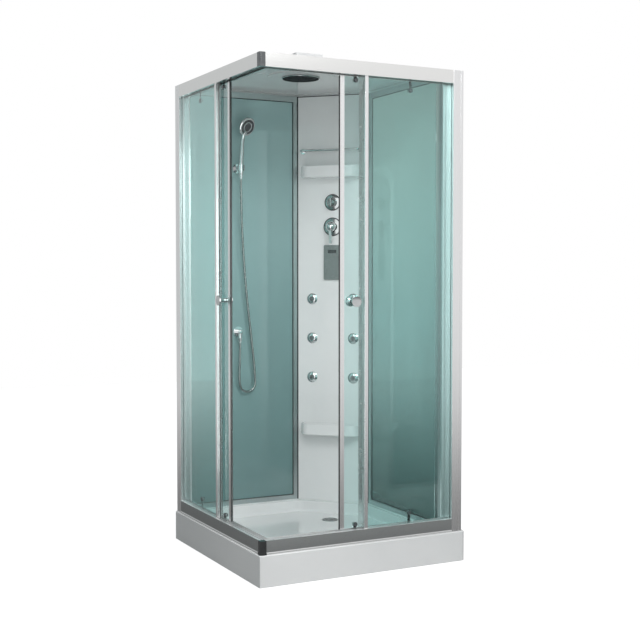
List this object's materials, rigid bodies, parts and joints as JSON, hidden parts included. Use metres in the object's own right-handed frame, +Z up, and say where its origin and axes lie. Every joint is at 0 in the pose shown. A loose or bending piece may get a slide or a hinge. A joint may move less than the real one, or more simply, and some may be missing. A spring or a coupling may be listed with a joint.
{
  "type": "corner shower cabin",
  "caption": "Square corner shower cabin with moulded tray, roof, teal glass rear walls, sliding glass doors, a service column with mixer and body jets, rain head and hand shower",
  "frame": {"origin": "on the floor, under the middle of the square tray", "axes": "+Z up; the glazed entrance sides are the -Y and -X faces, the teal glass walls stand along +Y and +X, and the service column fills the (+X, +Y) corner"},
  "size_m": [0.9, 0.9, 2],
  "materials": {
    "acrylic_white": "glossy moulded sanitary acrylic",
    "chrome": "polished chrome",
    "pipe_plastic": "plain grey waste and pressure pipe",
    "galvanised": "zinc plated steel",
    "aluminium_bright": "bright anodised extrusion",
    "aluminium_satin": "satin anodised extrusion",
    "black_plastic": "dark moulded corner piece",
    "clear_glass": "clear toughened glass",
    "teal_glass": "back-painted dark teal glass",
    "clear_seal": "translucent soft seal",
    "grey_seal": "magnetic gasket",
    "stainless": "pressed stainless steel",
    "roller_nylon": "moulded nylon",
    "jet_grey": "moulded nozzle",
    "brass": "cast brass body",
    "panel_plastic": "pale moulded case under a keypad film",
    "display_dark": "dark display window",
    "housing_plastic": "pale moulded cover",
    "hose_metal": "wound metal shower hose"
  },
  "bodies": {
    "cabin": {"tray": "acrylic_white", "drain_cover": "chrome", "drain_trap": "pipe_plastic", "tray_support_frame": "galvanised", "levelling_feet": "galvanised", "top_rails": "aluminium_bright", "bottom_rails": "aluminium_bright", "corner_connectors": "black_plastic", "wall_posts": "aluminium_bright", "fixed_glass": "clear_glass", "fixed_edge_profiles": "aluminium_bright", "lip_seals": "clear_seal", "wall_frame_left": "aluminium_satin", "wall_glass_left": "teal_glass", "wall_frame_right": "aluminium_satin", "wall_glass_right": "teal_glass", "column_shell": "acrylic_white", "shelves": "acrylic_white", "towel_rail": "chrome", "jet_bezels": "chrome", "jet_manifold": "pipe_plastic", "water_valve": "brass", "valve_cover_plates": "chrome", "control_panel": "panel_plastic", "control_display": "display_dark", "roof": "acrylic_white", "rain_head": "chrome", "roof_housing": "housing_plastic", "holder_base": "chrome", "hose_outlet": "chrome", "shower_hose": "hose_metal"},
    "right_door": {"door_glass_right": "clear_glass", "door_profile_right": "aluminium_bright", "door_seal_right": "grey_seal", "door_knob_right": "chrome", "roller_brackets_right": "stainless"},
    "right_upper_front_wheel": {"roller_right_upper_front": "roller_nylon"},
    "right_upper_rear_wheel": {"roller_right_upper_rear": "roller_nylon"},
    "right_lower_front_wheel": {"roller_right_lower_front": "roller_nylon"},
    "right_lower_rear_wheel": {"roller_right_lower_rear": "roller_nylon"},
    "left_door": {"door_glass_left": "clear_glass", "door_profile_left": "aluminium_bright", "door_seal_left": "grey_seal", "door_knob_left": "chrome", "roller_brackets_left": "stainless"},
    "left_upper_front_wheel": {"roller_left_upper_front": "roller_nylon"},
    "left_upper_rear_wheel": {"roller_left_upper_rear": "roller_nylon"},
    "left_lower_front_wheel": {"roller_left_lower_front": "roller_nylon"},
    "left_lower_rear_wheel": {"roller_left_lower_rear": "roller_nylon"},
    "mixer_turning_cap": {"mixer_cap": "chrome"},
    "mixer_handle": {"mixer_lever": "chrome"},
    "diverter_handle": {"diverter_knob": "chrome"},
    "shower_holder": {"holder_fork": "chrome"},
    "hand_shower_body": {"hand_shower": "chrome"},
    "jet_top_left": {"jet_nozzle_top_left": "jet_grey"},
    "jet_top_right": {"jet_nozzle_top_right": "jet_grey"},
    "jet_middle_left": {"jet_nozzle_middle_left": "jet_grey"},
    "jet_middle_right": {"jet_nozzle_middle_right": "jet_grey"},
    "jet_bottom_left": {"jet_nozzle_bottom_left": "jet_grey"},
    "jet_bottom_right": {"jet_nozzle_bottom_right": "jet_grey"}
  },
  "joints": [
    {"name": "right_door_slide", "type": "slide", "parent": "cabin", "child": "right_door", "axis": [-1, 0, 0], "range_m": [0, 0.3077]},
    {"name": "right_upper_front_wheel_spin", "type": "hinge", "parent": "right_door", "child": "right_upper_front_wheel", "pos_m": [-0.035, -0.4027, 1.902], "axis": [0, 1, 0], "range_deg": [-1960, 0]},
    {"name": "right_upper_rear_wheel_spin", "type": "hinge", "parent": "right_door", "child": "right_upper_rear_wheel", "pos_m": [0.205, -0.4027, 1.902], "axis": [0, 1, 0], "range_deg": [-1960, 0]},
    {"name": "right_lower_front_wheel_spin", "type": "hinge", "parent": "right_door", "child": "right_lower_front_wheel", "pos_m": [-0.035, -0.4027, 0.152], "axis": [0, 1, 0], "range_deg": [-1960, 0]},
    {"name": "right_lower_rear_wheel_spin", "type": "hinge", "parent": "right_door", "child": "right_lower_rear_wheel", "pos_m": [0.205, -0.4027, 0.152], "axis": [0, 1, 0], "range_deg": [-1960, 0]},
    {"name": "left_door_slide", "type": "slide", "parent": "cabin", "child": "left_door", "axis": [0, -1, 0], "range_m": [0, 0.3077]},
    {"name": "left_upper_front_wheel_spin", "type": "hinge", "parent": "left_door", "child": "left_upper_front_wheel", "pos_m": [-0.4027, -0.035, 1.902], "axis": [1, 0, 0], "range_deg": [0, 1960]},
    {"name": "left_upper_rear_wheel_spin", "type": "hinge", "parent": "left_door", "child": "left_upper_rear_wheel", "pos_m": [-0.4027, 0.205, 1.902], "axis": [1, 0, 0], "range_deg": [0, 1960]},
    {"name": "left_lower_front_wheel_spin", "type": "hinge", "parent": "left_door", "child": "left_lower_front_wheel", "pos_m": [-0.4027, -0.035, 0.152], "axis": [1, 0, 0], "range_deg": [0, 1960]},
    {"name": "left_lower_rear_wheel_spin", "type": "hinge", "parent": "left_door", "child": "left_lower_rear_wheel", "pos_m": [-0.4027, 0.205, 0.152], "axis": [1, 0, 0], "range_deg": [0, 1960]},
    {"name": "temperature_turn", "type": "hinge", "parent": "cabin", "child": "mixer_turning_cap", "pos_m": [0.246, 0.302, 1.348], "axis": [-0.7071, -0.7071, 0], "range_deg": [-45, 45]},
    {"name": "flow_lift", "type": "hinge", "parent": "mixer_turning_cap", "child": "mixer_handle", "pos_m": [0.22945, 0.28545, 1.348], "axis": [-0.7071, 0.7071, 0], "range_deg": [0, 25]},
    {"name": "diverter_turn", "type": "hinge", "parent": "cabin", "child": "diverter_handle", "pos_m": [0.246, 0.302, 1.456], "axis": [-0.7071, -0.7071, 0], "range_deg": [-120, 120]},
    {"name": "jet_top_left_tilt", "type": "hinge", "parent": "cabin", "child": "jet_top_left", "pos_m": [0.17762, 0.36755, 1.028], "axis": [0.7071, -0.7071, 0], "range_deg": [-12, 12]},
    {"name": "jet_top_right_tilt", "type": "hinge", "parent": "cabin", "child": "jet_top_right", "pos_m": [0.31155, 0.23362, 1.028], "axis": [0.7071, -0.7071, 0], "range_deg": [-12, 12]},
    {"name": "jet_middle_left_tilt", "type": "hinge", "parent": "cabin", "child": "jet_middle_left", "pos_m": [0.17762, 0.36755, 0.8525], "axis": [0.7071, -0.7071, 0], "range_deg": [-12, 12]},
    {"name": "jet_middle_right_tilt", "type": "hinge", "parent": "cabin", "child": "jet_middle_right", "pos_m": [0.31155, 0.23362, 0.8525], "axis": [0.7071, -0.7071, 0], "range_deg": [-12, 12]},
    {"name": "jet_bottom_left_tilt", "type": "hinge", "parent": "cabin", "child": "jet_bottom_left", "pos_m": [0.17762, 0.36755, 0.677], "axis": [0.7071, -0.7071, 0], "range_deg": [-12, 12]},
    {"name": "jet_bottom_right_tilt", "type": "hinge", "parent": "cabin", "child": "jet_bottom_right", "pos_m": [0.31155, 0.23362, 0.677], "axis": [0.7071, -0.7071, 0], "range_deg": [-12, 12]},
    {"name": "holder_tilt", "type": "hinge", "parent": "cabin", "child": "shower_holder", "pos_m": [-0.163, 0.404, 1.597], "axis": [1, 0, 0], "range_deg": [-12, 12], "deforming": ["shower_hose"]},
    {"name": "hand_shower_lift", "type": "slide", "parent": "shower_holder", "child": "hand_shower_body", "axis": [0, 0, 1], "range_m": [0, 0.09], "deforming": ["shower_hose"]}
  ],
  "couplings": [
    {"joint": "right_upper_front_wheel_spin", "follows": "right_door_slide", "rad_per_m": -111.11},
    {"joint": "right_upper_rear_wheel_spin", "follows": "right_door_slide", "rad_per_m": -111.11},
    {"joint": "right_lower_front_wheel_spin", "follows": "right_door_slide", "rad_per_m": -111.11},
    {"joint": "right_lower_rear_wheel_spin", "follows": "right_door_slide", "rad_per_m": -111.11},
    {"joint": "left_upper_front_wheel_spin", "follows": "left_door_slide", "rad_per_m": 111.11},
    {"joint": "left_upper_rear_wheel_spin", "follows": "left_door_slide", "rad_per_m": 111.11},
    {"joint": "left_lower_front_wheel_spin", "follows": "left_door_slide", "rad_per_m": 111.11},
    {"joint": "left_lower_rear_wheel_spin", "follows": "left_door_slide", "rad_per_m": 111.11}
  ]
}
